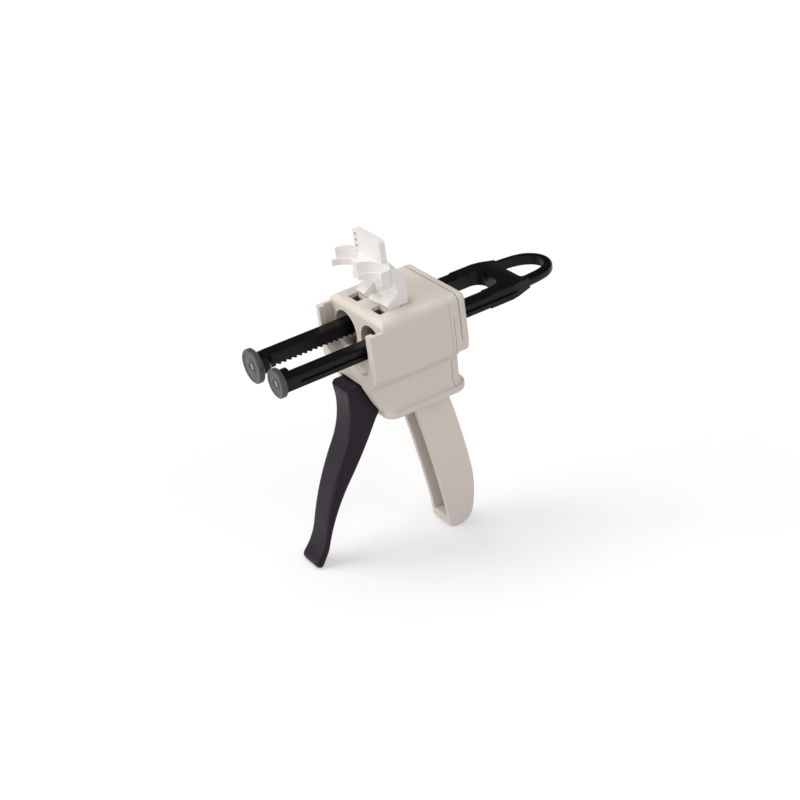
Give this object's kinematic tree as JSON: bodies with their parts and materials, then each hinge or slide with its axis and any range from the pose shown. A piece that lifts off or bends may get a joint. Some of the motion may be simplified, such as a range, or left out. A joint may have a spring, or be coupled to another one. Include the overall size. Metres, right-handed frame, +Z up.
{
  "type": "dental cartridge dispenser",
  "caption": "Hand-held dispenser for twin-barrel cartridges, with a racked double plunger, squeeze trigger, fixed grip and a hinged cartridge lock lever.",
  "frame": {"origin": "middle of the cartridge seat: on the plane of the housing's front face, midway between the two barrel axes", "axes": "+Z up and +Y to the near side, with the tool as it stands on trigger tip and grip foot; the barrels point to +X and 8.5 degrees down"},
  "size_m": [0.1604, 0.048, 0.1621],
  "materials": {
    "ivory_shell": "fine satin",
    "ivory_cover": "fine satin",
    "ivory_grip": "fine satin",
    "white_lever": "satin",
    "black_plunger": "moulded semi-gloss",
    "grey_disc": "moulded semi-gloss",
    "bright_screw": "bright",
    "cover_screw": "plain",
    "charcoal_trigger": "soft satin",
    "charcoal_release": "soft satin",
    "pawl_steel": "plain",
    "pin_steel": "ground",
    "spring_steel": "wire"
  },
  "bodies": {
    "body": {"housing": "ivory_shell", "rear_cover": "ivory_cover", "cover_screw_near": "cover_screw", "cover_screw_far": "cover_screw", "grip": "ivory_grip", "lock_lever_pin": "pin_steel", "trigger_pin": "pin_steel", "release_lever_pin": "pin_steel", "trigger_return_spring": "spring_steel", "release_spring": "spring_steel"},
    "plunger_body": {"plunger": "black_plunger", "plunger_disc_large": "grey_disc", "plunger_disc_small": "grey_disc", "disc_screw_large": "bright_screw", "disc_screw_small": "bright_screw"},
    "lock": {"lock_lever": "white_lever"},
    "trigger_body": {"trigger": "charcoal_trigger", "drive_pawl_pin": "pin_steel", "drive_pawl_spring": "spring_steel"},
    "pawl": {"drive_pawl": "pawl_steel"},
    "release": {"release_lever": "charcoal_release"}
  },
  "joints": [
    {"name": "plunger_slide", "type": "slide", "parent": "body", "child": "plunger_body", "axis": [0.989, 0, -0.1478], "range_m": [-0.0476, 0.0252]},
    {"name": "trigger_squeeze", "type": "hinge", "parent": "body", "child": "trigger_body", "pos_m": [-0.0119, 0, -0.02552], "axis": [0, 1, 0], "range_deg": [0, 27], "stiffness_Nm_per_rad": 0.4, "springref_deg": -14.32, "deforming": ["trigger_return_spring"]},
    {"name": "drive_pawl_level", "type": "hinge", "parent": "trigger_body", "child": "pawl", "pos_m": [-0.01489, 0, -0.01082], "axis": [0, 1, 0], "range_deg": [-27, 0]},
    {"name": "lock_lever_pivot", "type": "hinge", "parent": "body", "child": "lock", "pos_m": [-0.01134, 0, 0.01413], "axis": [0, 1, 0], "range_deg": [0, 90]},
    {"name": "release_lever_pivot", "type": "hinge", "parent": "body", "child": "release", "pos_m": [-0.02877, 0, -0.00985], "axis": [0, 1, 0], "range_deg": [-7, 0], "stiffness_Nm_per_rad": 0.1, "springref_deg": 11.46, "deforming": ["release_spring"]}
  ],
  "couplings": [
    {"joint": "drive_pawl_level", "follows": "trigger_squeeze", "ratio": -1}
  ]
}
